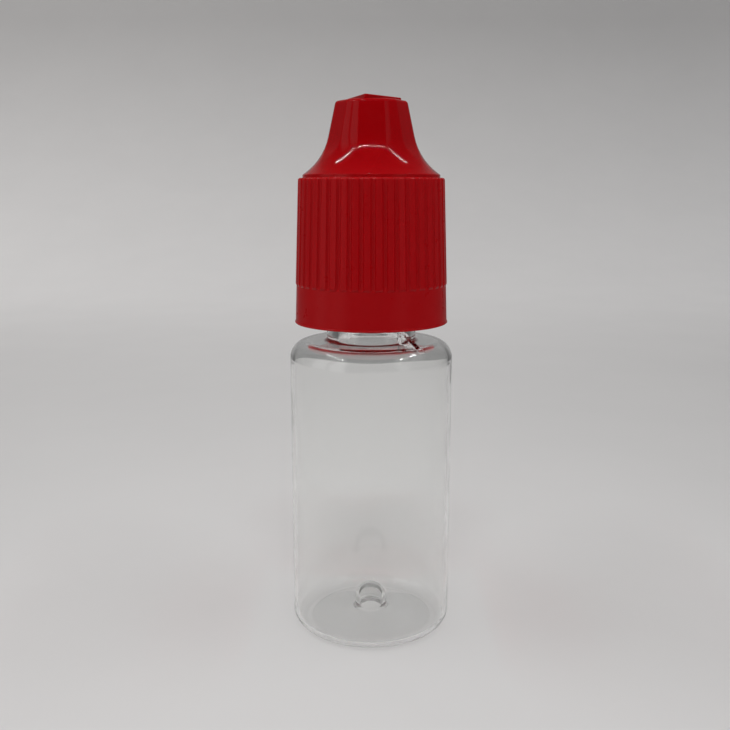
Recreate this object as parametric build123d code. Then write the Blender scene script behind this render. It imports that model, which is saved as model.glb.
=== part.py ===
from build123d import *
import math
import os

# 10 ml dropper bottle with a push-and-turn cap, in millimetres.
# Z is the bottle's axis and the bottle stands on z = 0.
# The front of the bottle faces -Y.

# Bottle body, blown in clear PET
body_radius = 11.0
body_wall = 0.55
body_height = 40.3
heel_radius = 1.9
foot_width = 0.7
push_up = 1.3
base_wall = 0.6
gate_dome_radius = 2.2
gate_dome_height = 3.1
shoulder_radius = 2.4
deck_rise = 0.15
fillet_at_neck = 0.4

# Bottle neck
neck_radius = 6.0
neck_height = 16.2
neck_wall = 1.5
neck_rim_round = 0.3
bore_entry_radius = 0.8
bead_overhang = 0.8
bead_thickness = 0.7
bead_above_shoulder = 5.3

# Stop fins that stand on the shoulder, one each side of the neck
fin_count = 2
fin_azimuth = -50.0
fin_thickness = 1.0
fin_below_ring = 0.05
fin_tip_inset = 0.6
fin_tip_drop = 0.8
fin_shelf = 0.6

# Dropper insert, a soft plug pressed into the neck
insert_fit = 0.03
insert_depth = 6.0
insert_wall = 0.9
flange_inset = 0.3
flange_thickness = 1.0
nozzle_base_step = 0.27
nozzle_tip_radius = 1.6
nozzle_wall = 0.8
orifice_radius = 0.6
orifice_length = 1.0
tip_round = 0.4

# Clearances between pieces that move on each other
running_gap = 0.3
seal_gap = 0.1
tip_gap = 0.25
pin_fit = 0.1

# Press travel of the outer cap on the inner cap
press_travel = 1.2

# Tamper ring, left on the neck under its bead
ring_wall = 0.65
ring_below_cap = 0.8
ring_catch_thickness = 0.6
ring_catch_lead = 0.6
bridge_count = 12
bridge_width = 0.5
bridge_height = 0.2

# Inner cap, the threaded one
thread_depth = 1.0
inner_wall = 1.05
inner_ceiling = 1.2
inner_nose_wall = 0.8
inner_nose_top = 0.9
inner_corner = 0.5
seal_ring_width = 0.48
pin_depth = 0.7
drive_count = 12
drive_tooth_height = 1.2
drive_tooth_width = 1.2
drive_tooth_crest = 0.5
drive_tooth_length = 1.9
inner_flute_count = 24
inner_flute_radius = 0.5
inner_flute_depth = 0.2

# Outer cap, the ribbed one
cap_above_shoulder = 2.55
cap_gap = 0.58
skirt_taper = 0.16
skirt_wall = 1.25
band_height = 5.0
lip_height = 0.22
lip_overhang = 0.11
rib_count = 42
rib_azimuth = -89.0
rib_foot_inset = 0.06
rib_draft = 0.48
rib_groove_radius = 0.36
rib_groove_depth = 0.26
rib_edge_round = 0.3
ledge_width = 0.6
ledge_height = 0.4
nose_height = 9.75
nose_taper = 12.3
nose_wall = 1.1
nose_edge_round = 0.5
flare_angle = 35.0
flare_radius = 7.7
flat_count = 6
flat_azimuth = -90.0
flat_depth = 0.25
flat_foot_height = 3.6
flat_run_out_radius = 3.0
retaining_bead_height = 1.0
retaining_overlap = 0.3
drive_rib_thickness = 1.0
drive_rib_height = 1.35

# Raised triangle on the cap's end, felt by the fingers
mark_height = 0.55
mark_inset = 0.26
mark_ridge = 1.2
mark_corner = 0.35
mark_azimuth = -100.0

# Small rounds, as shares of the wall or step that they soften
slight_round = 0.1
light_round = 0.2
edge_round = 0.3
dome_round = 0.9

# Most of a straight run that one round may use
run_share = 0.9

# Levels along the axis
neck_top = body_height + neck_height
bead_bottom = body_height + bead_above_shoulder
bead_top = bead_bottom + bead_thickness
cap_bottom = body_height + cap_above_shoulder
ring_bottom = cap_bottom - ring_below_cap
fin_crest = ring_bottom - fin_below_ring
flange_top = neck_top + flange_thickness
inner_bottom = bead_top + bridge_height + running_gap
inner_underside = flange_top + running_gap
inner_deck = inner_underside + inner_ceiling
drive_rib_bottom = inner_deck + drive_tooth_height + running_gap
skirt_top = drive_rib_bottom + drive_rib_height
nose_bottom = skirt_top + ledge_height
nose_top = skirt_top + nose_height
outer_ceiling = nose_top - nose_wall
inner_top = outer_ceiling - press_travel - tip_gap
inner_tip_ceiling = inner_top - inner_nose_top
nozzle_top = inner_tip_ceiling - tip_gap

# Radii worked out from the fits, from the neck outwards
bore_radius = neck_radius - neck_wall
bead_radius = neck_radius + bead_overhang
fin_tip_radius = body_radius - fin_tip_inset
ring_bore = bead_radius + running_gap
ring_radius = ring_bore + ring_wall
inner_bore = neck_radius + thread_depth + running_gap
inner_radius = inner_bore + inner_wall
skirt_bore = inner_radius + cap_gap
skirt_radius = skirt_bore + skirt_wall
rib_foot_radius = skirt_radius - rib_foot_inset
rib_head_radius = rib_foot_radius - rib_draft
ledge_radius = rib_head_radius - ledge_width
insert_radius = bore_radius - insert_fit
insert_bore = insert_radius - insert_wall
nozzle_base_radius = insert_bore - nozzle_base_step
flange_radius = neck_radius - flange_inset
seal_radius = flange_radius - running_gap

nose_slope = math.tan(math.radians(nose_taper))
nose_skin = nose_wall / math.cos(math.radians(nose_taper))

# The two noses, from the seal outwards
inner_nose_bore = seal_radius - seal_ring_width
inner_nose_foot = inner_nose_bore + inner_nose_wall
inner_nose_end = inner_nose_foot - (inner_top - inner_deck) * nose_slope
pressed_gap = nose_top - inner_top - press_travel
nose_top_radius = inner_nose_end + running_gap + nose_skin - pressed_gap * nose_slope
mark_circumradius = nose_top_radius - mark_inset


def turned(*outline):
    """Solid of revolution about Z of a closed outline of (radius, height, corner radius)."""
    corners = [(radius, height) for radius, height, corner in outline]
    rounds = [corner for radius, height, corner in outline]
    loop = FilletPolyline(*corners, radius=rounds, close=True)
    return revolve(Plane.XZ * make_face(loop), Axis.Z)


def radial_block(inner, outer, thickness, low, high):
    """Upright block along +X between two radii, centred on the XZ plane."""
    block = Box(outer - inner, thickness, high - low)
    return Pos((inner + outer) / 2, 0, (low + high) / 2) * block


def around(count, shape, start=0.0):
    """Copies of a shape, evenly spaced about Z."""
    return [Rot(0, 0, start + index * 360.0 / count) * shape for index in range(count)]


def nose_radius(height):
    """Radius of the outer cap's tapered nose at a height."""
    return nose_top_radius + (nose_top - height) * nose_slope


def fin():
    """Stop fin along +X: a low wall whose crest falls from the neck to the shoulder's edge."""
    outline = Polyline(
        (bore_radius + body_wall, body_height - shoulder_radius),
        (bore_radius + body_wall, fin_crest),
        (neck_radius + fin_shelf, fin_crest),
        (fin_tip_radius, body_height - fin_tip_drop),
        (fin_tip_radius, body_height - shoulder_radius),
        close=True,
    )
    return extrude(Plane.XZ * make_face(outline), fin_thickness / 2, both=True)


def make_bottle():
    """Hollow bottle with its push-up base, shoulder fins and plain neck with one bead."""
    foot_radius = body_radius - heel_radius
    gate_top = push_up + base_wall + gate_dome_height
    under_radius = gate_dome_radius - base_wall
    outside = turned(
        (0, gate_top - base_wall, 0),
        (under_radius, gate_top - base_wall, under_radius * dome_round),
        (under_radius, push_up, base_wall),
        (foot_radius - foot_width, 0, body_wall),
        (body_radius, 0, heel_radius),
        (body_radius, body_height, shoulder_radius),
        (neck_radius, body_height + deck_rise, fillet_at_neck),
        (neck_radius, bead_bottom, 0),
        (bead_radius, bead_bottom, bead_thickness * light_round),
        (bead_radius, bead_bottom + bead_thickness / 2, bead_thickness * edge_round),
        (neck_radius, bead_top, bead_thickness * light_round),
        (neck_radius, neck_top, neck_rim_round),
        (0, neck_top, 0),
    )
    inner_wall_radius = body_radius - body_wall
    inside = turned(
        (0, gate_top, 0),
        (gate_dome_radius, gate_top, gate_dome_radius * dome_round),
        (gate_dome_radius, push_up + base_wall, base_wall),
        (foot_radius - foot_width, base_wall, base_wall),
        (inner_wall_radius, base_wall, heel_radius - body_wall),
        (inner_wall_radius, body_height - body_wall, shoulder_radius - body_wall),
        (bore_radius, body_height + deck_rise - body_wall, bore_entry_radius),
        (bore_radius, neck_top + neck_rim_round, 0),
        (0, neck_top + neck_rim_round, 0),
    )
    return outside + around(fin_count, fin(), fin_azimuth) - inside


def make_dropper_insert():
    """Flanged plug with a hollow tapered nozzle and a small drip hole."""
    plug_bottom = neck_top - insert_depth
    cavity_top = nozzle_top - orifice_length
    return turned(
        (orifice_radius, nozzle_top, 0),
        (nozzle_tip_radius, nozzle_top, tip_round),
        (nozzle_base_radius, flange_top, insert_wall),
        (flange_radius, flange_top, flange_thickness * edge_round),
        (flange_radius, neck_top, flange_thickness * slight_round),
        (insert_radius, neck_top, 0),
        (insert_radius, plug_bottom + insert_wall, 0),
        (insert_radius - insert_wall / 2, plug_bottom, 0),
        (insert_bore, plug_bottom, 0),
        (insert_bore, neck_top - insert_wall, insert_wall),
        (nozzle_base_radius - nozzle_wall, flange_top, insert_wall),
        (nozzle_tip_radius - nozzle_wall / 2, cavity_top - nozzle_wall, 0),
        (orifice_radius, cavity_top, 0),
    )


def make_tamper_ring():
    """Thin band with a catch under the neck bead and the stubs of its broken bridges."""
    catch_top = bead_bottom - running_gap
    catch_bottom = catch_top - ring_catch_thickness
    catch_bore = neck_radius + running_gap
    band = turned(
        (ring_bore, ring_bottom, ring_wall * light_round),
        (ring_radius, ring_bottom, ring_wall * light_round),
        (ring_radius, bead_top, ring_wall * light_round),
        (ring_bore, bead_top, ring_wall * light_round),
        (ring_bore, catch_top, 0),
        (catch_bore, catch_top, 0),
        (catch_bore, catch_bottom, 0),
        (ring_bore, catch_bottom - ring_catch_lead, 0),
    )
    stub = radial_block(
        ring_bore + ring_wall * edge_round,
        ring_radius - ring_wall * edge_round,
        bridge_width,
        bead_top - bridge_height,
        bead_top + bridge_height,
    )
    return band + around(bridge_count, stub)


def make_inner_cap():
    """Threaded cap: fluted skirt, flat deck with ratchet teeth, and a hollow nose over the nozzle."""
    pin_radius = orifice_radius - pin_fit
    body = turned(
        (inner_bore, inner_bottom, 0),
        (inner_radius, inner_bottom, inner_wall * light_round),
        (inner_radius, inner_deck, inner_corner),
        (inner_nose_foot, inner_deck, inner_corner),
        (inner_nose_end, inner_top, inner_corner),
        (0, inner_top, 0),
        (0, nozzle_top - pin_depth, 0),
        (pin_radius, nozzle_top - pin_depth, pin_radius * edge_round),
        (pin_radius, inner_tip_ceiling, 0),
        (inner_nose_end - inner_nose_wall, inner_tip_ceiling, inner_nose_wall * edge_round),
        (inner_nose_bore, inner_underside, 0),
        (inner_nose_bore, flange_top + seal_gap, 0),
        (seal_radius, flange_top + seal_gap, 0),
        (seal_radius, inner_underside, 0),
        (inner_bore, inner_underside, inner_wall * edge_round),
    )
    flute = Pos(inner_radius - inner_flute_depth + inner_flute_radius, 0, 0) * Cylinder(
        inner_flute_radius,
        inner_deck - inner_bottom,
        align=(Align.CENTER, Align.CENTER, Align.MIN),
    )
    flute = Pos(0, 0, inner_bottom + inner_wall) * flute
    tooth_outer = inner_radius - inner_corner
    ramp = Polyline(
        (-drive_tooth_width / 2, inner_deck - inner_corner),
        (-drive_tooth_width / 2, inner_deck),
        (drive_tooth_width / 2 - drive_tooth_crest, inner_deck + drive_tooth_height),
        (drive_tooth_width / 2, inner_deck + drive_tooth_height),
        (drive_tooth_width / 2, inner_deck - inner_corner),
        close=True,
    )
    tooth = extrude(Plane.YZ * make_face(ramp), drive_tooth_length)
    tooth = Pos(tooth_outer - drive_tooth_length, 0, 0) * tooth
    body = body - around(inner_flute_count, flute)
    return body + around(drive_count, tooth, 180.0 / drive_count)


def flare_height(radius, skin):
    """Height of the flare's straight foot at a radius, set in by a skin."""
    slope = math.radians(flare_angle)
    foot_radius = ledge_radius - skin * math.sin(slope)
    foot_height = nose_bottom - skin * math.cos(slope)
    return foot_height + (foot_radius - radius) * math.tan(slope)


def flare_corner(skin):
    """Corner where the flare's foot meets the nose's taper, both set in by a skin."""
    slope = math.tan(math.radians(flare_angle))
    side_skin = skin / math.cos(math.radians(nose_taper))
    reach = flare_height(nose_radius(0) - side_skin, skin)
    height = reach / (1 - nose_slope * slope)
    return nose_radius(height) - side_skin, height


def flare_round(skin, foot, head):
    """Radius of the flare's hollow round, limited by the straight runs to its foot and its head."""
    corner = flare_corner(skin)
    half_turn = math.radians(90 - nose_taper - flare_angle) / 2
    run = min(math.dist(corner, foot), math.dist(corner, head))
    return min(flare_radius + skin, run_share * run / math.tan(half_turn))


def make_flat_cutter():
    """Cutter for one flat of the nose, along +X: parallel to the taper, running out over the flare."""
    foot = nose_bottom + flat_foot_height
    slope = math.radians(flare_angle)
    run_out = FilletPolyline(
        (nose_radius(nose_top + mark_height) - flat_depth, nose_top + mark_height),
        (nose_radius(foot) - flat_depth, foot),
        (ledge_radius, foot - (ledge_radius - nose_radius(foot) + flat_depth) * math.tan(slope)),
        (ledge_radius, nose_top + mark_height),
        radius=[0, flat_run_out_radius, 0, 0],
        close=True,
    )
    return extrude(Plane.XZ * make_face(run_out), ledge_radius / 2, both=True)


def make_rib_groove():
    """Cutter for the groove between two grip ribs, along the skirt's draft, with a sloping foot."""
    foot = cap_bottom + band_height
    height = skirt_top - foot + rib_edge_round
    lean = (rib_foot_radius - rib_head_radius) / (skirt_top - foot)
    line_radius = rib_foot_radius - rib_groove_depth + rib_groove_radius
    bar = Cylinder(
        rib_groove_radius,
        height + rib_groove_radius * 2,
        align=(Align.CENTER, Align.CENTER, Align.MIN),
    )
    bar = chamfer(bar.edges().group_by(Axis.Z)[0], rib_groove_radius * dome_round)
    return Pos(line_radius, 0, foot) * Rot(0, -math.degrees(math.atan(lean)), 0) * bar


def make_mark():
    """Raised triangular ridge on the flat end of the nose."""
    inradius = mark_circumradius / 2
    inner_circumradius = (inradius - mark_ridge) * 2
    outer = RegularPolygon(mark_circumradius, 3, major_radius=True)
    outer = fillet(outer.vertices(), mark_corner)
    ridge = outer - RegularPolygon(inner_circumradius, 3, major_radius=True)
    solid = extrude(Pos(0, 0, nose_top - mark_height) * ridge, mark_height * 2)
    return Rot(0, 0, mark_azimuth) * solid


def make_outer_cap():
    """Ribbed press-and-turn cap with a flared, six-sided nose."""
    foot = (ledge_radius, nose_bottom)
    head = (nose_top_radius, nose_top)
    outside = turned(
        (0, cap_bottom, 0),
        (skirt_radius + lip_overhang, cap_bottom, lip_height * edge_round),
        (skirt_radius + lip_overhang, cap_bottom + lip_height, lip_height * edge_round),
        (skirt_radius, cap_bottom + lip_height, 0),
        (skirt_radius - skirt_taper, cap_bottom + band_height, 0),
        (rib_foot_radius, cap_bottom + band_height + rib_groove_depth, 0),
        (rib_head_radius, skirt_top, rib_edge_round),
        (ledge_radius, skirt_top, 0),
        (*foot, ledge_height * edge_round),
        (*flare_corner(0), flare_round(0, foot, head)),
        (*head, nose_edge_round),
        (0, nose_top, 0),
    )
    outside = outside - around(rib_count, make_rib_groove(), rib_azimuth)
    outside = outside - around(flat_count, make_flat_cutter(), flat_azimuth)
    bead_low = inner_bottom - running_gap - retaining_bead_height
    bead_bore = inner_radius - retaining_overlap
    inner_foot = (skirt_bore, flare_height(skirt_bore, nose_wall))
    inner_head = (nose_radius(outer_ceiling) - nose_skin, outer_ceiling)
    cavity = turned(
        (0, cap_bottom - lip_height, 0),
        (skirt_bore, cap_bottom - lip_height, 0),
        (skirt_bore, bead_low - retaining_overlap, 0),
        (bead_bore, bead_low, 0),
        (bead_bore, bead_low + retaining_bead_height, 0),
        (skirt_bore, bead_low + retaining_bead_height, 0),
        (*inner_foot, skirt_wall * edge_round),
        (*flare_corner(nose_wall), flare_round(nose_wall, inner_foot, inner_head)),
        (*inner_head, nose_edge_round),
        (0, outer_ceiling, 0),
    )
    rib = radial_block(
        inner_radius - inner_corner - drive_tooth_length,
        skirt_bore + skirt_wall / 2,
        drive_rib_thickness,
        drive_rib_bottom,
        nose_bottom + nose_wall * 2,
    )
    ribs = [outside & part for part in around(drive_count, rib)]
    return outside - cavity + ribs + make_mark()


def main():
    os.makedirs("parts", exist_ok=True)
    pieces = {
        "bottle": make_bottle(),
        "dropper_insert": make_dropper_insert(),
        "tamper_ring": make_tamper_ring(),
        "inner_cap": make_inner_cap(),
        "outer_cap": make_outer_cap(),
    }
    for name, solid in pieces.items():
        export_step(solid, f"parts/{name}.step")


main()
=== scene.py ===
import math

import bmesh
import bpy
import numpy as np
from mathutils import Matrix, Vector


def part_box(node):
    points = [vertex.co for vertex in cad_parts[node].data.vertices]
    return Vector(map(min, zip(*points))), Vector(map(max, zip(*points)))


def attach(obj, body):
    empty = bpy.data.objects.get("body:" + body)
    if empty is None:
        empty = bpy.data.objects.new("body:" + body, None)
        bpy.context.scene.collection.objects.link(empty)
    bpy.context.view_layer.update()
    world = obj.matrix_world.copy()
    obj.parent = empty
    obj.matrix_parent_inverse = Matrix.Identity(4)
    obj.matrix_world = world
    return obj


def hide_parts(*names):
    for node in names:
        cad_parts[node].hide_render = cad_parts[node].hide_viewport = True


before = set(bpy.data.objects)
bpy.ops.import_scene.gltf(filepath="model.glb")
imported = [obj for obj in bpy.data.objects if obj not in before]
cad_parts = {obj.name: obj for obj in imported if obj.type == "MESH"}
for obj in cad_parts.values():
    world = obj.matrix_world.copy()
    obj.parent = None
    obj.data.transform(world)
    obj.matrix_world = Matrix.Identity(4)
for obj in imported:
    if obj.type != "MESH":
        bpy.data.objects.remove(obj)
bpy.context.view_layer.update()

# All sizes below are in millimetres, and MM turns them into metres.
# Z is the bottle's axis, the floor is z = 0 and the front faces -Y.
MM = 0.001


def low_high(node):
    """Lowest and highest corner of a CAD node, in millimetres."""
    low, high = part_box(node)
    return [value / MM for value in low], [value / MM for value in high]


bottle_low, bottle_high = low_high("bottle")
insert_low, insert_high = low_high("dropper_insert")
ring_low, ring_high = low_high("tamper_ring")
inner_low, inner_high = low_high("inner_cap")
outer_low, outer_high = low_high("outer_cap")

# Bottle
BODY_RADIUS = bottle_high[0]
NECK_TOP = bottle_high[2]
BODY_WALL = 0.55
BODY_HEIGHT = 40.3
HEEL_RADIUS = 1.9
FOOT_WIDTH = 0.7
PUSH_UP = 1.3
BASE_WALL = 0.6
GATE_RADIUS = 2.2
GATE_HEIGHT = 3.1
SHOULDER_RADIUS = 2.4
DECK_RISE = 0.15
NECK_RADIUS = 6.0
NECK_FILLET = 0.4
BORE_RADIUS = 4.5
BEAD_RADIUS = 6.8
BEAD_BOTTOM = 45.6
BEAD_THICKNESS = 0.7
FIN_AZIMUTHS = (-50.0, 130.0)
FIN_THICKNESS = 1.0
FIN_CREST = 42.0
FIN_SHELF = 6.6
FIN_TIP = 10.4
FIN_EDGE = 0.12
FINISH_BOTTOM = 47.0
FINISH_TOP = 55.8
WALL_WAVER = 0.05
GATE_ROUND = 0.9

# Thread of the neck and of the inner cap
PITCH = 3.0
THREAD_TURNS = 1.75
THREAD_START = 48.6
THREAD_WIDTH = 1.5
MALE_DEPTH = 0.95
FEMALE_DEPTH = 0.85
FEMALE_START = 50.1
FEMALE_TURNS = 1.6
FEMALE_BOTTOM = 48.0
FEMALE_TOP = 57.0
THREAD_FADE = 0.12
THREAD_FLANK = 0.55

# Outer cap
CAP_BOTTOM = outer_low[2]
CAP_TOP = outer_high[2]
MARK_HEIGHT = 0.55
NOSE_TOP = CAP_TOP - MARK_HEIGHT
LIP_RADIUS = outer_high[0]
SKIRT_RADIUS = 10.18
BAND_TOP_RADIUS = 10.02
BAND_TOP = CAP_BOTTOM + 5.0
LIP_HEIGHT = 0.22
LIP_RAGGED = 0.04
SKIRT_TOP = 61.85
RIB_COUNT = 42
RIB_AZIMUTH = -89.0
RIB_FOOT_RADIUS = 10.12
RIB_HEAD_RADIUS = 9.64
RIB_EDGE_ROUND = 0.3
GROOVE_RADIUS = 0.36
GROOVE_DEPTH = 0.26
GROOVE_FOOT = 0.3
LEDGE_RADIUS = 9.04
LEDGE_HEIGHT = 0.4
NOSE_TOP_RADIUS = 4.66
NOSE_TAPER = math.radians(12.3)
NOSE_SLOPE = math.tan(NOSE_TAPER)
NOSE_EDGE = 0.5
NOSE_WALL = 1.1
FLARE_ANGLE = math.radians(35.0)
FLARE_RADIUS = 7.7
FLAT_COUNT = 6
FLAT_DEPTH = 0.25
FLAT_START = 66.0
FLAT_END = 64.0
FLAT_BLEND = 0.03
SKIRT_BORE = 8.93
CAP_BEAD_RADIUS = 8.05
CAP_BEAD_BOTTOM = 45.5
CAP_BEAD_HEIGHT = 1.0
MARK_RADIUS = 4.4
MARK_RIDGE = 1.2
MARK_CORNER = 0.3
MARK_CORNER_LEAST = 0.12
MARK_EDGE = 0.16
MARK_ROOT = 0.3
MARK_AZIMUTH = -101.0
DRIVE_RIB_RADIUS = 5.95
DRIVE_RIB_WIDTH = 1.0
DRIVE_RIB_GAP = 0.3

# Inner cap
INNER_BOTTOM = inner_low[2]
INNER_TOP = inner_high[2]
INNER_RADIUS = 8.35
INNER_BORE = 7.3
INNER_UNDERSIDE = 57.8
INNER_DECK = 59.0
INNER_NOSE_TOP_RADIUS = 3.5
INNER_NOSE_WALL = 0.8
INNER_FLUTES = 24
FLUTE_DEPTH = 0.2
DRIVE_COUNT = 12
DRIVE_HEIGHT = 1.2
TOOTH_WIDTH = 1.2
TOOTH_LENGTH = 1.9
TOOTH_INSET = 0.5
TOOTH_RAMP = 0.5
PLUG_RADIUS = 0.5
PLUG_DEPTH = 0.7

# Dropper insert
NOZZLE_TOP = insert_high[2]
PLUG_BOTTOM = insert_low[2]
FLANGE_RADIUS = insert_high[0]
FLANGE_TOP = NECK_TOP + 1.0
NOZZLE_BORE = 0.6
NOZZLE_RADIUS = 1.6
NOZZLE_FOOT_RADIUS = 3.3
HOLLOW_RADIUS = 1.2
HOLLOW_FOOT_RADIUS = 2.5
HOLLOW_DEPTH = 1.8
PLUG_GAP = 0.03
PLUG_WALL = 0.9
PLUG_TAPER = 0.45

# Tamper ring
RING_SHORTER = 0.35
RING_BOTTOM = ring_low[2] + RING_SHORTER
RING_RADIUS = ring_high[0]
RING_BORE = 7.1
RING_TOP = 46.3
RING_ROUND = 0.13
CATCH_GAP = 0.3
CATCH_FACE = 0.6
CATCH_HEIGHT = 1.2
STUB_COUNT = 12


# Shapes

def arc_points(before, corner, after, radius):
    """Points of the round of a corner between two neighbours in a (radius, height) outline."""
    here = np.array(corner, float)
    to_before = np.array(before, float) - here
    to_after = np.array(after, float) - here
    to_before /= np.linalg.norm(to_before)
    to_after /= np.linalg.norm(to_after)
    half = math.acos(max(-1.0, min(1.0, float(to_before @ to_after)))) / 2
    if radius <= 0 or half > math.pi / 2 - 1e-3:
        return [tuple(here)]
    bisector = (to_before + to_after) / np.linalg.norm(to_before + to_after)
    centre = here + bisector * radius / math.sin(half)
    start = here + to_before * radius / math.tan(half) - centre
    turn = math.pi - 2 * half
    steps = max(3, int(math.degrees(turn) / 7) + 1)
    if start[0] * to_before[1] - start[1] * to_before[0] > 0:
        turn = -turn
    points = []
    for index in range(steps + 1):
        angle = turn * index / steps
        cosine, sine = math.cos(angle), math.sin(angle)
        x = start[0] * cosine - start[1] * sine
        z = start[0] * sine + start[1] * cosine
        points.append((centre[0] + x, centre[1] + z))
    return points


def outline(*corners, step=0.8):
    """Open outline through (radius, height, corner radius) points, with its long runs divided."""
    rounded = []
    for index, (radius, height, corner) in enumerate(corners):
        if index in (0, len(corners) - 1):
            rounded.append((radius, height))
            continue
        before, after = corners[index - 1][:2], corners[index + 1][:2]
        rounded.extend(arc_points(before, (radius, height), after, corner))
    line = [rounded[0]]
    for point in rounded[1:]:
        length = math.dist(line[-1], point)
        if length < 1e-6:
            continue
        pieces = max(1, math.ceil(length / step))
        start = line[-1]
        for index in range(1, pieces + 1):
            share = index / pieces
            radius = start[0] + (point[0] - start[0]) * share
            height = start[1] + (point[1] - start[1]) * share
            line.append((radius, height))
    return line


def new_object(name, vertices, faces, sharp_angle=None):
    """Mesh object in metres from vertices in millimetres, smooth shaded."""
    mesh = bpy.data.meshes.new(name)
    mesh.from_pydata([tuple(vertex) for vertex in np.asarray(vertices) * MM], [], faces)
    mesh.polygons.foreach_set("use_smooth", [True] * len(mesh.polygons))
    if sharp_angle is not None:
        mesh.set_sharp_from_angle(angle=math.radians(sharp_angle))
    mesh.update()
    piece = bpy.data.objects.new(name, mesh)
    bpy.context.scene.collection.objects.link(piece)
    return piece


def lathe(name, line, columns, shape=None, sharp_angle=None):
    """Turned piece: an outline swept about Z over the column angles.

    shape(angles, radii, heights, index) moves one ring of points. Ends of the outline that lie on the axis
    become single points.
    """
    angles = np.array(columns)
    count = len(angles)
    vertices = []
    rings = []
    for index, (radius, height) in enumerate(line):
        if radius < 1e-6:
            rings.append([len(vertices)])
            vertices.append((0.0, 0.0, height))
            continue
        radii = np.full(count, radius)
        heights = np.full(count, height)
        if shape is not None:
            radii, heights = shape(angles, radii, heights, index)
        rings.append(list(range(len(vertices), len(vertices) + count)))
        vertices.extend(zip(radii * np.cos(angles), radii * np.sin(angles), heights))
    faces = []
    closed = len(rings[0]) > 1
    pairs = list(zip(rings, rings[1:]))
    if closed:
        pairs.append((rings[-1], rings[0]))
    for lower, upper in pairs:
        for column in range(count):
            following = (column + 1) % count
            if len(lower) == 1:
                faces.append((lower[0], upper[following], upper[column]))
            elif len(upper) == 1:
                faces.append((lower[column], lower[following], upper[0]))
            else:
                faces.append((lower[column], lower[following], upper[following], upper[column]))
    piece = new_object(name, vertices, faces, sharp_angle)
    fix_normals(piece)
    return piece


def fix_normals(piece):
    """Points all the faces of a closed piece outwards."""
    work = bmesh.new()
    work.from_mesh(piece.data)
    bmesh.ops.recalc_face_normals(work, faces=work.faces)
    work.to_mesh(piece.data)
    work.free()


def even_columns(count, start=0.0):
    """Evenly spaced column angles."""
    return [math.radians(start) + index * math.tau / count for index in range(count)]


def smooth_step(value):
    """Zero below 0, one above 1 and a smooth rise between."""
    value = np.clip(value, 0.0, 1.0)
    return value * value * (3 - 2 * value)


def smooth_min(first, second, blend):
    """Smaller of two values, with a rounded change over a blend width."""
    share = np.clip(0.5 + (second - first) / (2 * blend), 0.0, 1.0)
    return second + (first - second) * share - blend * share * (1 - share)


def angle_between(angles, centre):
    """Signed angles from a centre, in -pi to pi."""
    return (angles - centre + math.pi) % math.tau - math.pi


def join(name, pieces):
    """One mesh object from several."""
    work = bmesh.new()
    for piece in pieces:
        work.from_mesh(piece.data)
    mesh = bpy.data.meshes.new(name)
    work.to_mesh(mesh)
    work.free()
    for piece in pieces:
        old = piece.data
        bpy.data.objects.remove(piece)
        bpy.data.meshes.remove(old)
    joined = bpy.data.objects.new(name, mesh)
    bpy.context.scene.collection.objects.link(joined)
    return joined


# Bottle

def thread_height(angles, height, start, turns):
    """Share of a thread's full depth at each angle of a height, for a helix that starts at a height."""
    share = np.zeros_like(angles)
    for turn in range(-1, int(turns) + 2):
        along = (angles % math.tau) / math.tau + turn
        centre = start + along * PITCH
        across = np.abs(height - centre) / (THREAD_WIDTH / 2)
        ends = smooth_step(along / THREAD_FADE) * smooth_step((turns - along) / THREAD_FADE)
        profile = smooth_step((1.0 - across) / THREAD_FLANK)
        share = np.maximum(share, profile * ends)
    return share


def wall_waver(angles, heights, size):
    """Slow unevenness of a blown wall, in millimetres."""
    slow = np.sin(2 * angles + 0.19 * heights + 0.6) * np.sin(0.23 * heights + 1.1)
    fine = np.sin(5 * angles - 0.41 * heights) * np.sin(0.37 * heights + 0.4)
    return size * (0.65 * slow + 0.35 * fine)


def bottle_columns():
    """Column angles, even all round and closer together at the fins."""
    angles = set(np.round(even_columns(288), 6))
    for azimuth in FIN_AZIMUTHS:
        centre = math.radians(azimuth) % math.tau
        angles.update(np.round((centre + np.linspace(-0.1, 0.1, 41)) % math.tau, 6))
    ordered = sorted(angles)
    neighbours = zip(ordered, ordered[1:] + [math.tau])
    return [angle for angle, following in neighbours if following - angle > 1e-3]


def spread_points(line, count):
    """A number of points evenly spaced along a line."""
    line = np.array(line)
    reach = np.concatenate(([0.0], np.cumsum(np.linalg.norm(np.diff(line, axis=0), axis=1))))
    places = np.linspace(0.0, reach[-1], count)
    return list(zip(np.interp(places, reach, line[:, 0]), np.interp(places, reach, line[:, 1])))


def fin_path(outside):
    """First and last outline points that a fin moves, and where its crest takes them."""
    on_shoulder = [index for index, (radius, height) in enumerate(outside)
                   if height > BODY_HEIGHT - SHOULDER_RADIUS and radius <= FIN_TIP]
    first = on_shoulder[0]
    last = next(index for index in on_shoulder if outside[index][1] > FIN_CREST + 0.3)
    crest = outline(
        (*outside[first], 0),
        (FIN_SHELF, FIN_CREST, 0.8),
        (NECK_RADIUS, FIN_CREST, 0.15),
        (*outside[last], 0),
        step=0.2,
    )
    return first, last, spread_points(crest, last - first + 1)


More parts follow.
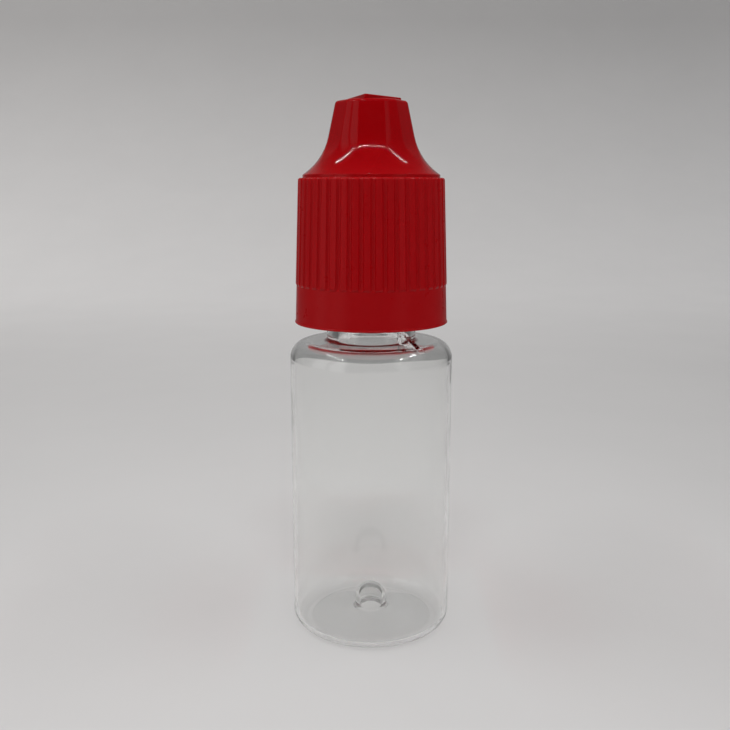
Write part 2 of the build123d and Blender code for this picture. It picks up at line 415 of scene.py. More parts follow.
def make_bottle():
    """Clear bottle: one closed skin from the underside, up the outside and down the inside."""
    foot_radius = BODY_RADIUS - HEEL_RADIUS
    gate_top = PUSH_UP + BASE_WALL + GATE_HEIGHT
    gate_under = GATE_RADIUS - BASE_WALL
    bead_middle = BEAD_BOTTOM + BEAD_THICKNESS / 2
    bead_top = BEAD_BOTTOM + BEAD_THICKNESS
    outside = outline(
        (0, gate_top - BASE_WALL, 0),
        (gate_under, gate_top - BASE_WALL, gate_under * GATE_ROUND),
        (gate_under, PUSH_UP, BASE_WALL),
        (foot_radius - FOOT_WIDTH, 0, 0.25),
        (BODY_RADIUS, 0, HEEL_RADIUS),
        (BODY_RADIUS, BODY_HEIGHT, SHOULDER_RADIUS),
        (NECK_RADIUS, BODY_HEIGHT + DECK_RISE, NECK_FILLET),
        (NECK_RADIUS, BEAD_BOTTOM, 0.05),
        (BEAD_RADIUS, BEAD_BOTTOM, BEAD_THICKNESS * 0.2),
        (BEAD_RADIUS, bead_middle, BEAD_THICKNESS * 0.3),
        (NECK_RADIUS, bead_top, BEAD_THICKNESS * 0.2),
        (NECK_RADIUS, NECK_TOP, 0.3),
        (BORE_RADIUS + 0.6, NECK_TOP, 0),
        step=0.35,
    )
    inner_radius = BODY_RADIUS - BODY_WALL
    inside = outline(
        (BORE_RADIUS + 0.6, NECK_TOP, 0),
        (BORE_RADIUS, NECK_TOP, 0.15),
        (BORE_RADIUS, BODY_HEIGHT + DECK_RISE - BODY_WALL, 0.8),
        (inner_radius, BODY_HEIGHT - BODY_WALL, SHOULDER_RADIUS - BODY_WALL),
        (inner_radius, BASE_WALL, HEEL_RADIUS - BODY_WALL),
        (foot_radius - FOOT_WIDTH, BASE_WALL, 0.2),
        (GATE_RADIUS, PUSH_UP + BASE_WALL, BASE_WALL),
        (GATE_RADIUS, gate_top, GATE_RADIUS * GATE_ROUND),
        (0, gate_top, 0),
        step=0.7,
    )
    outside_count = len(outside)
    first, last, crest_line = fin_path(outside)

    def shape(angles, radii, heights, index):
        radius, height = radii[0], heights[0]
        if index >= outside_count:
            if 3 < height < BODY_HEIGHT - 1 and radius > NECK_RADIUS:
                radii = radii + wall_waver(angles, heights, WALL_WAVER)
            return radii, heights
        if FINISH_BOTTOM < height < FINISH_TOP and radius < BEAD_RADIUS:
            radii = radii + MALE_DEPTH * thread_height(angles, height, THREAD_START, THREAD_TURNS)
        if first <= index <= last:
            crest_radius, crest_height = crest_line[index - first]
            for azimuth in FIN_AZIMUTHS:
                across = np.abs(angle_between(angles, math.radians(azimuth))) * crest_radius
                share = smooth_step((FIN_THICKNESS / 2 + FIN_EDGE - across) / (2 * FIN_EDGE))
                radii = radii + (crest_radius - radius) * share
                heights = heights + (crest_height - height) * share
        return radii, heights

    return lathe("bottle_body", outside + inside[1:], bottle_columns(), shape)


# Outer cap

def nose_radius(height):
    """Radius of the tapered nose at a height."""
    return NOSE_TOP_RADIUS + (NOSE_TOP - height) * NOSE_SLOPE


def flare_foot(skin):
    """Radius and height of the foot of the flare's straight line, set in by a skin."""
    radius = LEDGE_RADIUS - skin * math.sin(FLARE_ANGLE)
    height = SKIRT_TOP + LEDGE_HEIGHT - skin * math.cos(FLARE_ANGLE)
    return radius, height


def flare_inside(radius):
    """Height of the flare's inner wall at a radius, on its straight line."""
    foot_radius, foot_height = flare_foot(NOSE_WALL)
    return foot_height + (foot_radius - radius) * math.tan(FLARE_ANGLE)


def nose_corner(skin):
    """Corner between the flare's straight line and the nose's taper, both set in by a skin."""
    run = 1 / math.tan(FLARE_ANGLE)
    foot_radius, foot_height = flare_foot(skin)
    side_skin = skin / math.cos(NOSE_TAPER)
    height = (foot_radius + foot_height * run - nose_radius(0) + side_skin) / (run - NOSE_SLOPE)
    return nose_radius(height) - side_skin, height


def groove_depth(angles, radius):
    """Depth of the grip grooves below the ribs' crests at each angle, with rounded edges."""
    pitch = math.tau / RIB_COUNT
    phase = angle_between((angles - math.radians(RIB_AZIMUTH)) % pitch, 0.0)
    phase = np.minimum(phase, pitch - phase)
    across = phase * radius
    hollow = np.sqrt(np.maximum(GROOVE_RADIUS ** 2 - across ** 2, 0.0)) - (GROOVE_RADIUS - GROOVE_DEPTH)
    return np.maximum(hollow, 0.0)


def flat_limit(angles, radius, height):
    """Largest radius that the nose's flats leave at each angle of a height."""
    depth = FLAT_DEPTH * smooth_step((height - FLAT_END) / (FLAT_START - FLAT_END))
    spacing = math.tau / FLAT_COUNT
    front = math.radians(-90.0)
    turned = (angles - front + spacing / 2) % spacing - spacing / 2
    return (radius - depth) / np.cos(turned)


def cap_columns():
    """Column angles, with the same set of places on each rib."""
    pitch = math.tau / RIB_COUNT
    places = (0.0, 0.07, 0.13, 0.18, 0.215, 0.235, 0.26, 0.32, 0.41)
    shares = sorted(set(places) | {1 - place for place in places[1:]} | {0.5})
    start = math.radians(RIB_AZIMUTH)
    return [start + (rib + share) * pitch for rib in range(RIB_COUNT) for share in shares]


def make_outer_cap():
    """Ribbed outer cap as one closed skin, from the middle of its end round the lip to its ceiling."""
    corner_radius, corner_height = nose_corner(0.0)
    inner_corner_radius, inner_corner_height = nose_corner(NOSE_WALL)
    ceiling = NOSE_TOP - NOSE_WALL
    side_skin = NOSE_WALL / math.cos(NOSE_TAPER)
    nose_bottom = SKIRT_TOP + LEDGE_HEIGHT
    outside = outline(
        (0, NOSE_TOP, 0),
        (NOSE_TOP_RADIUS, NOSE_TOP, NOSE_EDGE),
        (corner_radius, corner_height, FLARE_RADIUS),
        (LEDGE_RADIUS, nose_bottom, 0.12),
        (LEDGE_RADIUS, SKIRT_TOP, 0.05),
        (RIB_HEAD_RADIUS, SKIRT_TOP, RIB_EDGE_ROUND),
        (RIB_FOOT_RADIUS, BAND_TOP + GROOVE_DEPTH, 0.05),
        (BAND_TOP_RADIUS, BAND_TOP, 0.05),
        (SKIRT_RADIUS, CAP_BOTTOM + LIP_HEIGHT, 0.05),
        (LIP_RADIUS, CAP_BOTTOM + LIP_HEIGHT, 0.06),
        (LIP_RADIUS, CAP_BOTTOM, 0.06),
        (SKIRT_BORE + 0.4, CAP_BOTTOM, 0),
        step=0.5,
    )
    inside = outline(
        (SKIRT_BORE + 0.4, CAP_BOTTOM, 0),
        (SKIRT_BORE, CAP_BOTTOM, 0.2),
        (SKIRT_BORE, CAP_BEAD_BOTTOM - 0.3, 0),
        (CAP_BEAD_RADIUS, CAP_BEAD_BOTTOM, 0.1),
        (CAP_BEAD_RADIUS, CAP_BEAD_BOTTOM + CAP_BEAD_HEIGHT, 0.1),
        (SKIRT_BORE, CAP_BEAD_BOTTOM + CAP_BEAD_HEIGHT, 0.1),
        (SKIRT_BORE, flare_inside(SKIRT_BORE), 0.35),
        (inner_corner_radius, inner_corner_height, FLARE_RADIUS + NOSE_WALL),
        (nose_radius(ceiling) - side_skin, ceiling, NOSE_EDGE),
        (0, ceiling, 0),
        step=1.2,
    )
    outside_count = len(outside)

    def shape(angles, radii, heights, index):
        if index >= outside_count:
            return radii, heights
        radius, height = radii[0], heights[0]
        if height > SKIRT_TOP + LEDGE_HEIGHT * 0.5 and radius > 3.0:
            radii = smooth_min(radii, flat_limit(angles, radius, height), FLAT_BLEND)
        if BAND_TOP - 0.01 < height < SKIRT_TOP + 0.01 and radius > LEDGE_RADIUS + 0.05:
            foot = smooth_step((height - BAND_TOP) / GROOVE_FOOT)
            radii = radii - groove_depth(angles, radius) * foot
        if radius > SKIRT_RADIUS and height < CAP_BOTTOM + LIP_HEIGHT + 0.01:
            ragged = np.sin(7 * angles + 1.0) * np.sin(3 * angles) * 0.5 + np.sin(19 * angles) * 0.2
            radii = radii - LIP_RAGGED * (0.7 + ragged)
        return radii, heights

    return lathe("cap_shell", outside + inside[1:], cap_columns(), shape, sharp_angle=50)


def triangle_loop(inradius, corner, height):
    """Points of a rounded triangle at a height, the same number on any size of it."""
    corner = min(corner, inradius * 0.9)
    reach = 2 * (inradius - corner)
    points = []
    for index in range(3):
        middle = math.radians(MARK_AZIMUTH + 120 * index)
        centre = (reach * math.cos(middle), reach * math.sin(middle))
        for step in range(-6, 7):
            angle = middle + math.radians(60) * step / 6
            x = centre[0] + corner * math.cos(angle)
            y = centre[1] + corner * math.sin(angle)
            points.append((x, y, height))
    return points


def make_mark():
    """Raised triangular ridge on the cap's end, with rounded edges."""
    inradius = MARK_RADIUS / 2
    bottom = NOSE_TOP - MARK_ROOT
    turns = np.linspace(0, math.pi / 2, 5)
    section = [(0.0, bottom)]
    for turn in turns:
        section.append((MARK_EDGE * (1 - math.cos(turn)), CAP_TOP - MARK_EDGE * (1 - math.sin(turn))))
    for turn in turns:
        inset = MARK_RIDGE - MARK_EDGE * (1 - math.sin(turn))
        section.append((inset, CAP_TOP - MARK_EDGE * (1 - math.cos(turn))))
    section.append((MARK_RIDGE, bottom))
    vertices, faces = [], []
    loops = []
    for inset, height in section:
        corner = max(MARK_CORNER - inset, MARK_CORNER_LEAST)
        loops.append(triangle_loop(inradius - inset, corner, height))
    count = len(loops[0])
    for loop in loops:
        vertices.extend(loop)
    for row in range(len(loops)):
        following_row = (row + 1) % len(loops)
        for index in range(count):
            following = (index + 1) % count
            low, high = row * count, following_row * count
            faces.append((low + index, low + following, high + following, high + index))
    piece = new_object("cap_mark", vertices, faces)
    fix_normals(piece)
    piece.data.set_sharp_from_angle(angle=math.radians(60))
    return piece


# Inner cap, ring and insert

def make_inner_cap():
    """Inner cap with its fluted skirt, thread and hollow nose."""
    foot = INNER_NOSE_TOP_RADIUS + (INNER_TOP - INNER_DECK) * NOSE_SLOPE
    root = foot - INNER_NOSE_WALL
    tip_ceiling = INNER_TOP - 0.9
    outside = outline(
        (0, INNER_TOP, 0),
        (INNER_NOSE_TOP_RADIUS, INNER_TOP, 0.5),
        (foot, INNER_DECK, 0.5),
        (INNER_RADIUS, INNER_DECK, 0.5),
        (INNER_RADIUS, INNER_BOTTOM, 0.2),
        (INNER_BORE + 0.5, INNER_BOTTOM, 0),
        step=0.8,
    )
    inside = outline(
        (INNER_BORE + 0.5, INNER_BOTTOM, 0),
        (INNER_BORE, INNER_BOTTOM, 0.2),
        (INNER_BORE, INNER_UNDERSIDE, 0.3),
        (FLANGE_RADIUS - 0.3, INNER_UNDERSIDE, 0.05),
        (FLANGE_RADIUS - 0.3, FLANGE_TOP + 0.1, 0.05),
        (root, FLANGE_TOP + 0.1, 0.05),
        (root, INNER_UNDERSIDE, 0.05),
        (INNER_NOSE_TOP_RADIUS - INNER_NOSE_WALL, tip_ceiling, 0.3),
        (PLUG_RADIUS, tip_ceiling, 0.1),
        (PLUG_RADIUS, NOZZLE_TOP - PLUG_DEPTH, 0.15),
        (0, NOZZLE_TOP - PLUG_DEPTH, 0),
        step=0.3,
    )
    outside_count = len(outside)

    def shape(angles, radii, heights, index):
        radius, height = radii[0], heights[0]
        if index < outside_count:
            if radius > INNER_RADIUS - 0.01 and INNER_BOTTOM + 1.0 < height < INNER_DECK - 0.4:
                hollow = np.cos(INNER_FLUTES * angles)
                radii = radii - FLUTE_DEPTH * smooth_step((hollow - 0.45) / 0.5)
            return radii, heights
        if abs(radius - INNER_BORE) < 0.01 and FEMALE_BOTTOM < height < FEMALE_TOP:
            radii = radii - FEMALE_DEPTH * thread_height(angles, height, FEMALE_START, FEMALE_TURNS)
        return radii, heights

    shell = lathe("inner_shell", outside + inside[1:], even_columns(288), shape)
    teeth = []
    tooth_outer = INNER_RADIUS - TOOTH_INSET
    tooth_inner = tooth_outer - TOOTH_LENGTH
    half = TOOTH_WIDTH / 2
    for index in range(DRIVE_COUNT):
        angle = math.tau * (index + 0.5) / DRIVE_COUNT
        profile = (
            (-half, INNER_DECK - 0.2),
            (-half, INNER_DECK),
            (half - TOOTH_RAMP, INNER_DECK + DRIVE_HEIGHT),
            (half, INNER_DECK + DRIVE_HEIGHT),
            (half, INNER_DECK - 0.2),
        )
        teeth.append(radial_bar(f"tooth_{index}", profile, tooth_inner, tooth_outer, angle))
    piece = join("inner_cap_shell", [shell] + teeth)
    piece.data.set_sharp_from_angle(angle=math.radians(45))
    return piece


def flat_bar(name, ends, angle):
    """Flat-sided bar between two ends of (radius, across, height) points, turned to an angle."""
    cosine, sine = math.cos(angle), math.sin(angle)
    vertices = []
    for end in ends:
        for radius, across, height in end:
            vertices.append((radius * cosine - across * sine, radius * sine + across * cosine, height))
    count = len(ends[0])
    faces = [tuple(range(count)), tuple(range(2 * count - 1, count - 1, -1))]
    for index in range(count):
        following = (index + 1) % count
        faces.append((index, index + count, following + count, following))
    piece = new_object(name, vertices, faces)
    piece.data.polygons.foreach_set("use_smooth", [False] * len(piece.data.polygons))
    fix_normals(piece)
    return piece


def radial_bar(name, profile, inner, outer, angle):
    """Bar along a radius, with an (across, height) profile."""
    ends = [[(radius, across, height) for across, height in profile] for radius in (inner, outer)]
    return flat_bar(name, ends, angle)


def make_drive_ribs():
    """Radial ribs under the outer cap's flare that push on the ratchet teeth."""
    bottom = INNER_DECK + DRIVE_HEIGHT + DRIVE_RIB_GAP
    inner, outer = DRIVE_RIB_RADIUS, SKIRT_BORE + 0.2
    inner_top, outer_top = flare_inside(inner) + 0.3, flare_inside(outer) + 0.3
    profile = ((inner, bottom), (outer, bottom), (outer, outer_top), (inner, inner_top))
    sides = (-DRIVE_RIB_WIDTH / 2, DRIVE_RIB_WIDTH / 2)
    ends = [[(radius, across, height) for radius, height in profile] for across in sides]
    ribs = []
    for index in range(DRIVE_COUNT):
        ribs.append(flat_bar(f"rib_{index}", ends, math.tau * index / DRIVE_COUNT))
    return join("cap_drive_ribs", ribs)


def make_ring():
    """Tamper ring with its catch and the torn stubs of its bridges."""
    catch_top = BEAD_BOTTOM - CATCH_GAP
    catch_radius = NECK_RADIUS + CATCH_GAP
    band = outline(
        (RING_BORE + 0.3, RING_BOTTOM, 0),
        (RING_RADIUS, RING_BOTTOM, RING_ROUND),
        (RING_RADIUS, RING_TOP, RING_ROUND),
        (RING_BORE, RING_TOP, RING_ROUND),
        (RING_BORE, catch_top, 0.05),
        (catch_radius, catch_top, 0.05),
        (catch_radius, catch_top - CATCH_FACE, 0.05),
        (RING_BORE, catch_top - CATCH_HEIGHT, 0.05),
        (RING_BORE, RING_BOTTOM, RING_ROUND),
        (RING_BORE + 0.28, RING_BOTTOM, 0),
        step=0.8,
    )
    ring = lathe("ring_band", band, even_columns(192))
    stubs = []
    profile = (
        (-0.25, RING_TOP - 0.2),
        (0.25, RING_TOP - 0.2),
        (0.16, RING_TOP + 0.2),
        (-0.12, RING_TOP + 0.14),
    )
    for index in range(STUB_COUNT):
        angle = math.tau * index / STUB_COUNT
        stubs.append(radial_bar(f"stub_{index}", profile, RING_BORE + 0.2, RING_RADIUS - 0.2, angle))
    piece = join("ring_with_stubs", [ring] + stubs)
    piece.data.set_sharp_from_angle(angle=math.radians(45))
    return piece


def make_insert():
    """Dropper plug: flange, tapered nozzle and the bore down its middle."""
    plug_radius = BORE_RADIUS - PLUG_GAP
    line = outline(
        (NOZZLE_BORE, NOZZLE_TOP - 0.5, 0),
        (NOZZLE_BORE, NOZZLE_TOP, 0.15),
        (NOZZLE_RADIUS, NOZZLE_TOP, 0.4),
        (NOZZLE_FOOT_RADIUS, FLANGE_TOP, 0.9),
        (FLANGE_RADIUS, FLANGE_TOP, 0.3),
        (FLANGE_RADIUS, NECK_TOP, 0.1),
        (plug_radius, NECK_TOP, 0.02),
        (plug_radius, PLUG_BOTTOM + 0.9, 0.1),
        (plug_radius - PLUG_TAPER, PLUG_BOTTOM, 0.1),
        (plug_radius - PLUG_WALL, PLUG_BOTTOM, 0.1),
        (plug_radius - PLUG_WALL, NECK_TOP - 0.9, 0.6),
        (HOLLOW_FOOT_RADIUS, FLANGE_TOP, 0.9),
        (HOLLOW_RADIUS, NOZZLE_TOP - HOLLOW_DEPTH, 0.2),
        (NOZZLE_BORE, NOZZLE_TOP - 1.0, 0.1),
        (NOZZLE_BORE, NOZZLE_TOP - 0.52, 0),
        step=0.8,
    )
    return lathe("dropper_plug", line, even_columns(160), sharp_angle=50)


# Materials

# Bounces after which light that is trapped in a clear wall leaves it
TRAPPED_DEPTH = 6.5

# Painted glow of the red plastic where it is seen through the clear walls, standing in for light from
# below, in shares of its own colour
SEEN_THROUGH_PAINTED_GLOW = 0.45

# How far from the object the sheet shows in gloss, in millimetres; the tent shows beyond that
MIRRORED_REACH = 250.0

# Light of the sheet at its back, in shares of its own colour
BACK_GLOW = 0.384

# Height above every piece, for red plastic that is satin all over and has no painted shade
ALL_SATIN = 1000.0


class Nodes:
    """A node tree with short ways to build it."""

    def __init__(self, tree):
        self.tree = tree

    def add(self, kind, **settings):
        node = self.tree.nodes.new(kind)
        for key, value in settings.items():
            setattr(node, key, value)
        return node

    def link(self, source, target):
        self.tree.links.new(source, target)

    def feed(self, value, socket):
        """Links a source to a socket, or sets the socket to a number or a colour."""
        if isinstance(value, bpy.types.NodeSocket):
            self.link(value, socket)
        elif isinstance(value, (int, float)):
            socket.default_value = value
        else:
            socket.default_value = (*value, 1.0)

    def math(self, operation, first, second, clamp=False):
        node = self.add("ShaderNodeMath", operation=operation, use_clamp=clamp)
        self.feed(first, node.inputs[0])
        self.feed(second, node.inputs[1])
        return node.outputs[0]


class MaterialNodes(Nodes):
    """A new material with its node tree."""

    def __init__(self, name):
        self.material = bpy.data.materials.new(name)
        self.material.use_nodes = True
        super().__init__(self.material.node_tree)
        self.tree.nodes.clear()
        self.output = self.add("ShaderNodeOutputMaterial")
        self.place = self.add("ShaderNodeTexCoord").outputs["Object"]

    def noise(self, scale, detail=2.0, rough=0.5, stretch=(1, 1, 1), distortion=0.0):
        """Noise with a scale in waves per metre, and its coordinates stretched."""
        mapping = self.add("ShaderNodeMapping")
        mapping.inputs["Scale"].default_value = stretch
        self.link(self.place, mapping.inputs["Vector"])
        node = self.add("ShaderNodeTexNoise")
        node.inputs["Scale"].default_value = scale
        node.inputs["Detail"].default_value = detail
        node.inputs["Roughness"].default_value = rough
        node.inputs["Distortion"].default_value = distortion
        self.link(mapping.outputs[0], node.inputs["Vector"])
        return node.outputs["Fac"]

    def spread(self, source, low, high, to_low, to_high):
        """Source mapped from one range to another, and clamped."""
        node = self.add("ShaderNodeMapRange")
        for key, value in zip(("From Min", "From Max", "To Min", "To Max"), (low, high, to_low, to_high)):
            node.inputs[key].default_value = value
        self.link(source, node.inputs["Value"])
        return node.outputs["Result"]

    def mix(self, factor, first, second):
        """Colour mix of two colours or sources."""
        node = self.add("ShaderNodeMix", data_type="RGBA")
        self.feed(factor, node.inputs["Factor"])
        self.feed(first, node.inputs["A"])
        self.feed(second, node.inputs["B"])
        return node.outputs["Result"]

    def bump(self, height, strength, distance, before=None):
        """Bump with a distance in millimetres."""
        node = self.add("ShaderNodeBump")
        node.inputs["Strength"].default_value = strength
        node.inputs["Distance"].default_value = distance * MM
        self.link(height, node.inputs["Height"])
        if before is not None:
            self.link(before, node.inputs["Normal"])
        return node.outputs["Normal"]

    def mix_shaders(self, share, first, second):
        """Mix of two shaders by a share of the second."""
        node = self.add("ShaderNodeMixShader")
        self.link(share, node.inputs[0])
        self.link(first.outputs[0], node.inputs[1])
        self.link(second.outputs[0], node.inputs[2])
        return node

    def finish(self, shader):
        """Material with a shader as its surface."""
        self.link(shader.outputs[0], self.output.inputs["Surface"])
        return self.material


def clear_plastic():
    """Clear PET: sharp refraction, faint waves of the blown wall and a patchy sheen.

    Shadow and diffuse rays and light that is trapped in the walls go straight through.
    """
    n = MaterialNodes("clear_pet")
    waves = n.noise(160, detail=1.5, stretch=(1, 1, 0.4))
    fine = n.noise(1400, detail=3.0)
    normal = n.bump(waves, 0.25, 0.06)
    normal = n.bump(fine, 0.08, 0.004, normal)
    rough = n.spread(n.noise(420, detail=4.0, rough=0.6), 0.45, 0.75, 0.004, 0.03)
    shader = n.add("ShaderNodeBsdfPrincipled")
    shader.inputs["Base Color"].default_value = (0.985, 0.99, 0.985, 1)
    shader.inputs["Transmission Weight"].default_value = 1.0
    shader.inputs["IOR"].default_value = 1.55
    n.link(rough, shader.inputs["Roughness"])
    n.link(normal, shader.inputs["Normal"])
    clear = n.add("ShaderNodeBsdfTransparent")
    clear.inputs["Color"].default_value = (0.93, 0.93, 0.93, 1)
    path = n.add("ShaderNodeLightPath")
    straight = n.math("MAXIMUM", path.outputs["Is Shadow Ray"], path.outputs["Is Diffuse Ray"])
    trapped = n.math("GREATER_THAN", path.outputs["Ray Depth"], TRAPPED_DEPTH)
    straight = n.math("MAXIMUM", straight, trapped)
    return n.finish(n.mix_shaders(straight, shader, clear))


def red_plastic(name, satin_top):
    """Moulded red polypropylene: satin up to a height, glossy above it, with flow marks and fine wear;
    above that height painted shade darkens its colour, and a painted glow shows where it is seen through
    clear walls.
    """
    n = MaterialNodes(name)
    position = n.add("ShaderNodeSeparateXYZ")
    n.link(n.place, position.inputs[0])
    height = position.outputs["Z"]
    nose = n.spread(height, (satin_top - 0.2) * MM, (satin_top + 0.6) * MM, 0.0, 1.0)
    flow = n.noise(55, detail=3.0, stretch=(1, 1, 0.35), distortion=0.6)
    mottle = n.noise(600, detail=4.0, rough=0.6)
    colour = n.mix(n.spread(flow, 0.3, 0.7, 0.0, 1.0), (0.325, 0.0008, 0.0026), (0.355, 0.0010, 0.0034))
    colour = n.mix(n.spread(mottle, 0.55, 0.85, 0.0, 0.35), colour, (0.385, 0.002, 0.004))
    # Painted shade: above the satin height the red colour is darkened a little.
    colour = n.mix(n.math("MULTIPLY", nose, 0.35), colour, (0.20, 0.0008, 0.002))
    scuff = n.spread(n.noise(900, detail=5.0, rough=0.7), 0.5, 0.8, 0.0, 0.12)
    skirt_rough = n.math("ADD", n.spread(mottle, 0.3, 0.7, 0.26, 0.34), scuff)
    nose_rough = n.math("ADD", n.spread(mottle, 0.3, 0.7, 0.05, 0.08), scuff)
    rough = n.add("ShaderNodeMix", data_type="FLOAT")
    n.link(nose, rough.inputs["Factor"])
    n.link(skirt_rough, rough.inputs["A"])
    n.link(nose_rough, rough.inputs["B"])
    normal = n.bump(n.noise(240, detail=2.0), 0.15, 0.03)
    normal = n.bump(n.noise(2600, detail=3.0), 0.10, 0.004, normal)
    shader = n.add("ShaderNodeBsdfPrincipled")
    n.link(colour, shader.inputs["Base Color"])
    n.link(rough.outputs["Result"], shader.inputs["Roughness"])
    n.link(normal, shader.inputs["Normal"])
    shader.inputs["IOR"].default_value = 1.49
    shader.inputs["Specular IOR Level"].default_value = 0.13
    shader.inputs["Subsurface Weight"].default_value = 0.15
    shader.inputs["Subsurface Scale"].default_value = 0.001
    shader.inputs["Subsurface Radius"].default_value = (1.0, 0.15, 0.15)
    through = n.add("ShaderNodeBsdfTransparent")
    through.inputs["Color"].default_value = (0.7, 0.06, 0.07, 1)
    path = n.add("ShaderNodeLightPath")
    # Painted glow: the red plastic emits its own colour to rays that reach it through the clear walls.
    n.link(colour, shader.inputs["Emission Color"])
    painted_glow = n.math("MULTIPLY", path.outputs["Is Transmission Ray"], SEEN_THROUGH_PAINTED_GLOW)
    n.link(painted_glow, shader.inputs["Emission Strength"])
    return n.finish(n.mix_shaders(path.outputs["Is Shadow Ray"], shader, through))


def milky_plastic():
    """Natural LDPE: milky, soft sheen, light scattered below the surface."""
    n = MaterialNodes("natural_ldpe")
    cloud = n.noise(300, detail=3.0)
    colour = n.mix(n.spread(cloud, 0.35, 0.65, 0.0, 1.0), (0.74, 0.75, 0.73), (0.80, 0.81, 0.80))
    shader = n.add("ShaderNodeBsdfPrincipled")
    n.link(colour, shader.inputs["Base Color"])
    n.link(n.spread(n.noise(900, detail=4.0), 0.3, 0.7, 0.32, 0.46), shader.inputs["Roughness"])
    n.link(n.bump(n.noise(1800, detail=2.0), 0.1, 0.006), shader.inputs["Normal"])
    shader.inputs["Subsurface Weight"].default_value = 0.5
    shader.inputs["Subsurface Scale"].default_value = 0.002
    shader.inputs["Subsurface Radius"].default_value = (1.0, 0.95, 0.9)
    return n.finish(shader)


def pale_sheet():
    """Pale matt sheet, with painted shade that makes it a little darker on its right.

    It glows to the eye towards the back, where the strips' light falls off, and beyond a reach it is hidden
    from gloss.
    """
    n = MaterialNodes("pale_sheet")
    position = n.add("ShaderNodeSeparateXYZ")
    n.link(n.place, position.inputs[0])
    grain = n.spread(n.noise(25, detail=4.0, rough=0.6), 0.3, 0.7, 0.0, 1.0)
    # Painted shade: the sheet darkens towards its right, with a little grain mixed in.
    right_shade = n.spread(position.outputs["X"], -0.25, 0.25, 0.0, 0.9)
    shade_and_grain = n.math("ADD", right_shade, n.math("MULTIPLY", grain, 0.1))
    colour = n.mix(shade_and_grain, (0.70, 0.69, 0.685), (0.55, 0.545, 0.545))
    path = n.add("ShaderNodeLightPath")
    seen = n.math("MAXIMUM", path.outputs["Is Camera Ray"], path.outputs["Is Transmission Ray"])
    seen = n.math("MAXIMUM", seen, path.outputs["Is Glossy Ray"])
    back = n.spread(position.outputs["Y"], 0.0, 0.40, 0.0, BACK_GLOW)
    back.node.interpolation_type = "SMOOTHSTEP"
    back = n.math("MULTIPLY", back, n.spread(position.outputs["Z"], 0.0, 0.2, 1.0, 0.1))
    shader = n.add("ShaderNodeBsdfPrincipled")
    n.link(colour, shader.inputs["Base Color"])
    n.link(colour, shader.inputs["Emission Color"])
    n.link(n.math("MULTIPLY", seen, back), shader.inputs["Emission Strength"])
    shader.inputs["Roughness"].default_value = 0.85
    shader.inputs["Specular IOR Level"].default_value = 0.2
    reach = n.add("ShaderNodeVectorMath", operation="LENGTH")
    n.link(n.place, reach.inputs[0])
    far = n.math("GREATER_THAN", reach.outputs["Value"], MIRRORED_REACH * MM)
    hidden = n.math("MULTIPLY", far, path.outputs["Is Glossy Ray"])
    return n.finish(n.mix_shaders(hidden, shader, n.add("ShaderNodeBsdfTransparent")))


# Stage

# Brightness of the tent and of its ceiling in gloss, and power and beam of the strongest strip
TENT_LEVEL = 0.54
CEILING_LEVEL = 0.10
STRIP_WATTS = 0.095
STRIP_BEAM = math.radians(110)

# Brightness of the tent's walls in gloss, by degrees to the right of the front
GLOSS_LEVELS = (
    (-180, 0.30), (-158, 0.28), (-146, 0.12),
    (-94, 0.10), (-88, 0.75), (-68, 0.80), (-66, 0.12),
    (-63, 0.12), (-60, 0.95), (-42, 0.90), (-36, 0.03),
    (36, 0.03), (42, 0.60), (52, 0.50), (58, 0.10),
    (146, 0.10), (158, 0.24), (180, 0.30),
)

# Sweep, in millimetres
SWEEP_HALF_WIDTH = 1600.0
SWEEP_FRONT = -900.0
BEND_START = 340.0
BEND_RADIUS = 380.0
BEND_STEPS = 24
SWEEP_TOP = 1200.0


def make_sweep():
    """Floor that curves up into a backdrop behind the object."""
    path = [(SWEEP_FRONT, 0.0), (BEND_START, 0.0)]
    for step in range(1, BEND_STEPS + 1):
        angle = math.pi / 2 * step / BEND_STEPS
        path.append((BEND_START + BEND_RADIUS * math.sin(angle), BEND_RADIUS * (1 - math.cos(angle))))
    path.append((BEND_START + BEND_RADIUS, SWEEP_TOP))
    vertices = []
    for y, z in path:
        vertices.append((-SWEEP_HALF_WIDTH, y, z))
        vertices.append((SWEEP_HALF_WIDTH, y, z))
    faces = []
    for index in range(len(path) - 1):
        low = 2 * index
        faces.append((low, low + 1, low + 3, low + 2))
    sweep = new_object("sweep", vertices, faces)
    sweep.data.materials.append(pale_sheet())


def lamp(name, place, target, length, width, watts):
    """Area lamp that faces a target, with its length level, all in millimetres."""
    light = bpy.data.lights.new(name, "AREA")
    light.shape = "RECTANGLE"
    light.size = length * MM
    light.size_y = width * MM
    light.energy = watts
    light.spread = STRIP_BEAM
    holder = bpy.data.objects.new(name, light)
    bpy.context.scene.collection.objects.link(holder)
    holder.location = [value * MM for value in place]
    way = Vector(target) - Vector(place)
    holder.rotation_euler = way.to_track_quat("-Z", "Y").to_euler()


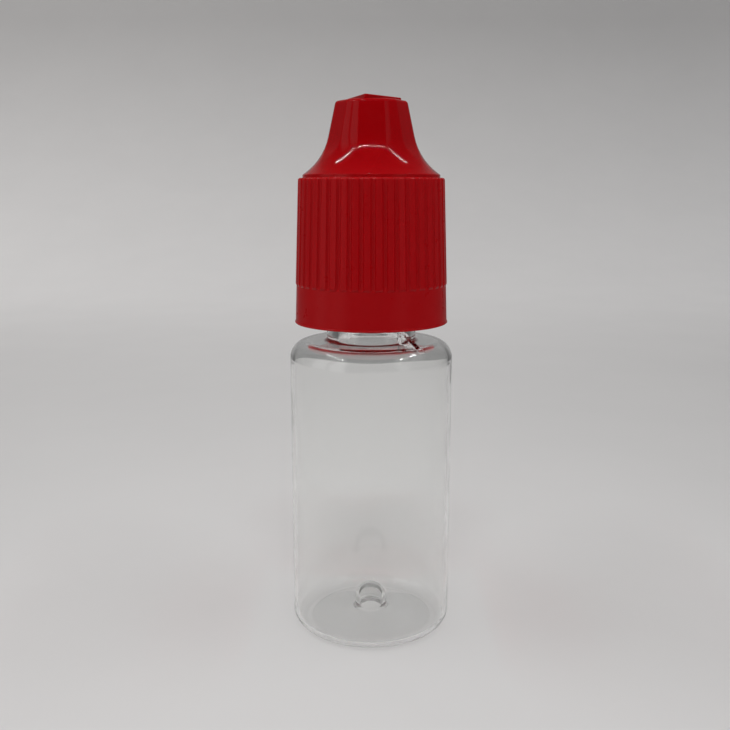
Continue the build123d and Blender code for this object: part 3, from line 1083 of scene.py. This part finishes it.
def make_world():
    """Even pale tent, which shows in gloss as a few bright panels between dim ones."""
    world = bpy.data.worlds.new("studio")
    world.use_nodes = True
    n = Nodes(world.node_tree)
    background = n.tree.nodes["Background"]
    background.inputs["Color"].default_value = (1.0, 0.99, 0.985, 1)
    direction = n.add("ShaderNodeSeparateXYZ")
    n.link(n.add("ShaderNodeTexCoord").outputs["Generated"], direction.inputs[0])
    x, y, z = direction.outputs
    azimuth = n.math("ARCTAN2", x, n.math("MULTIPLY", y, -1.0))
    ramp = n.add("ShaderNodeValToRGB")
    n.link(n.math("ADD", n.math("DIVIDE", azimuth, math.tau), 0.5), ramp.inputs[0])
    stops = ramp.color_ramp.elements
    for index, (degrees, level) in enumerate(GLOSS_LEVELS):
        stop = stops[index] if index < 2 else stops.new(1.0)
        stop.position = (degrees + 180) / 360
        stop.color = (level, level, level, 1)
    overhead = n.math("MULTIPLY", n.math("SUBTRACT", z, 0.6), 5.0, clamp=True)
    walls = n.math("MULTIPLY", ramp.outputs[0], n.math("SUBTRACT", 1.0, overhead))
    gloss = n.math("ADD", walls, n.math("MULTIPLY", overhead, CEILING_LEVEL))
    mirrored = n.add("ShaderNodeLightPath").outputs["Is Glossy Ray"]
    change = n.math("MULTIPLY", mirrored, n.math("SUBTRACT", gloss, TENT_LEVEL))
    n.link(n.math("ADD", change, TENT_LEVEL), background.inputs["Strength"])
    bpy.context.scene.world = world


def make_lights():
    """Three LED strips high in a pale light tent: in front, on the left and on the right."""
    lamp("front_strip", (0, -120, 250), (0, 0, 30), 80, 1.5, STRIP_WATTS * 0.6)
    lamp("left_strip", (-170, -20, 300), (0, -20, 30), 220, 2, STRIP_WATTS)
    lamp("right_strip", (170, -20, 300), (0, -20, 30), 220, 2, STRIP_WATTS * 0.75)
    make_world()


# The photograph was taken from in front, from the height of the skirt's top, looking 11 degrees down.
PHOTO_SIZE = 730
SENSOR_WIDTH = 36.0
FOCAL_PIXELS = 900.0
CAMERA_DISTANCE = 120.9
CAMERA_HEIGHT = 60.4
CAMERA_TILT = 11.05
AXIS_COLUMN = 371.2


def make_camera():
    """Camera of the photograph."""
    data = bpy.data.cameras.new("camera")
    data.sensor_width = SENSOR_WIDTH
    data.lens = FOCAL_PIXELS / PHOTO_SIZE * SENSOR_WIDTH
    data.clip_start = 0.01
    data.clip_end = 20.0
    camera = bpy.data.objects.new("camera", data)
    bpy.context.scene.collection.objects.link(camera)
    aside = -(AXIS_COLUMN - PHOTO_SIZE / 2) / FOCAL_PIXELS * CAMERA_DISTANCE
    camera.location = (aside * MM, -CAMERA_DISTANCE * MM, CAMERA_HEIGHT * MM)
    camera.rotation_euler = (math.radians(90 - CAMERA_TILT), 0, 0)
    bpy.context.scene.camera = camera


def dress(piece, body, nodes, material):
    """Gives a piece its body, the CAD nodes it stands for and its material."""
    piece.data.materials.clear()
    piece.data.materials.append(material)
    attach(piece, body)
    if nodes:
        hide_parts(*nodes)


make_camera()
clear = clear_plastic()
red = red_plastic("red_pp", SKIRT_TOP)
red_inner = red_plastic("red_pp_inner", ALL_SATIN)
milky = milky_plastic()
dress(make_bottle(), "bottle", ["bottle"], clear)
dress(make_insert(), "bottle", ["dropper_insert"], milky)
dress(make_ring(), "ring", ["tamper_ring"], red_inner)
dress(make_inner_cap(), "inner", ["inner_cap"], red_inner)
dress(make_outer_cap(), "outer", ["outer_cap"], red)
dress(make_mark(), "outer", [], red)
dress(make_drive_ribs(), "outer", [], red_inner)
make_sweep()
make_lights()
bpy.context.scene.view_settings.view_transform = "Standard"
bpy.context.scene.cycles.max_bounces = 24
bpy.context.scene.cycles.transmission_bounces = 24
bpy.context.scene.cycles.glossy_bounces = 8
bpy.context.scene.cycles.transparent_max_bounces = 32
